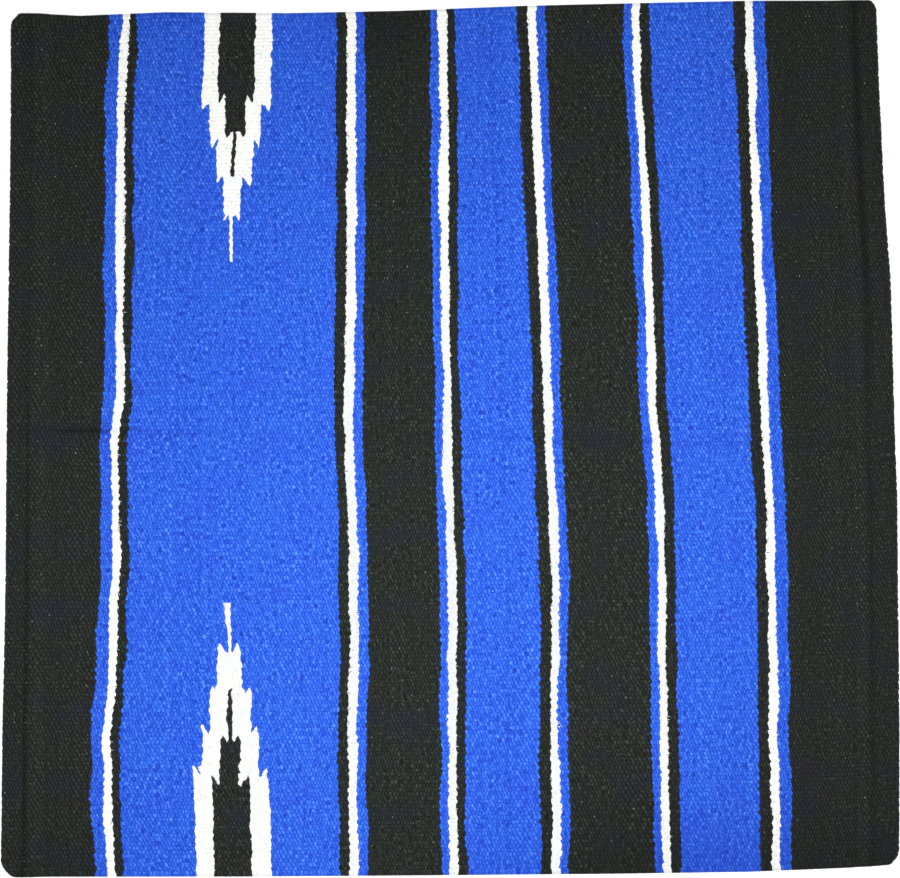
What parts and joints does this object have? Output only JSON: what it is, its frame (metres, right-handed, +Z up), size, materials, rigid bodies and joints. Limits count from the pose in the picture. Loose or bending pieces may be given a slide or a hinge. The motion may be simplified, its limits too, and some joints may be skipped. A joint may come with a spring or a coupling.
{
  "type": "saddle blanket",
  "caption": "Flat woven saddle blanket in blue, black and white bands with stepped arrows, stitched hems, folding at the spine.",
  "frame": {"origin": "under the middle of the blanket, on its underside", "axes": "+X towards the horse's front along its spine, +Y towards its near (left) side, +Z up through the cloth"},
  "size_m": [0.8968, 0.876, 0.0105],
  "materials": {
    "blue_yarn": "royal blue acrylic and wool weft, spun yarn, matt with a soft sheen",
    "black_yarn": "black weft, spun yarn with light flecks, matt",
    "white_yarn": "bleached white weft, spun yarn, matt",
    "cotton_warp": "undyed cotton cord, hidden inside the weft",
    "hem_thread": "black sewing thread"
  },
  "bodies": {
    "off_half": {"rear_border_off": "black_yarn", "stripe_1_blue_off": "blue_yarn", "stripe_1_white_off": "white_yarn", "stripe_1_black_off": "black_yarn", "motif_field_off": "blue_yarn", "arrow_off": "white_yarn", "arrow_core_off": "black_yarn", "stripe_2_black_off": "black_yarn", "stripe_2_white_off": "white_yarn", "stripe_2_blue_off": "blue_yarn", "rear_black_band_off": "black_yarn", "stripe_3_blue_off": "blue_yarn", "stripe_3_white_off": "white_yarn", "stripe_3_black_off": "black_yarn", "middle_blue_band_off": "blue_yarn", "stripe_4_black_off": "black_yarn", "stripe_4_white_off": "white_yarn", "stripe_4_blue_off": "blue_yarn", "front_black_band_off": "black_yarn", "stripe_5_blue_off": "blue_yarn", "stripe_5_white_off": "white_yarn", "stripe_5_black_off": "black_yarn", "front_blue_band_off": "blue_yarn", "stripe_6_black_off": "black_yarn", "stripe_6_white_off": "white_yarn", "stripe_6_blue_off": "blue_yarn", "front_border_off": "black_yarn", "warp_off": "cotton_warp", "rear_hem_thread_off": "hem_thread", "front_hem_thread_off": "hem_thread"},
    "near_half": {"rear_border_near": "black_yarn", "stripe_1_blue_near": "blue_yarn", "stripe_1_white_near": "white_yarn", "stripe_1_black_near": "black_yarn", "motif_field_near": "blue_yarn", "arrow_near": "white_yarn", "arrow_core_near": "black_yarn", "stripe_2_black_near": "black_yarn", "stripe_2_white_near": "white_yarn", "stripe_2_blue_near": "blue_yarn", "rear_black_band_near": "black_yarn", "stripe_3_blue_near": "blue_yarn", "stripe_3_white_near": "white_yarn", "stripe_3_black_near": "black_yarn", "middle_blue_band_near": "blue_yarn", "stripe_4_black_near": "black_yarn", "stripe_4_white_near": "white_yarn", "stripe_4_blue_near": "blue_yarn", "front_black_band_near": "black_yarn", "stripe_5_blue_near": "blue_yarn", "stripe_5_white_near": "white_yarn", "stripe_5_black_near": "black_yarn", "front_blue_band_near": "blue_yarn", "stripe_6_black_near": "black_yarn", "stripe_6_white_near": "white_yarn", "stripe_6_blue_near": "blue_yarn", "front_border_near": "black_yarn", "warp_near": "cotton_warp", "rear_hem_thread_near": "hem_thread", "front_hem_thread_near": "hem_thread"}
  },
  "joints": [
    {"name": "spine_fold", "type": "hinge", "parent": "off_half", "child": "near_half", "pos_m": [0, 0, 0.01065], "axis": [1, 0, 0], "range_deg": [0, 179]}
  ]
}
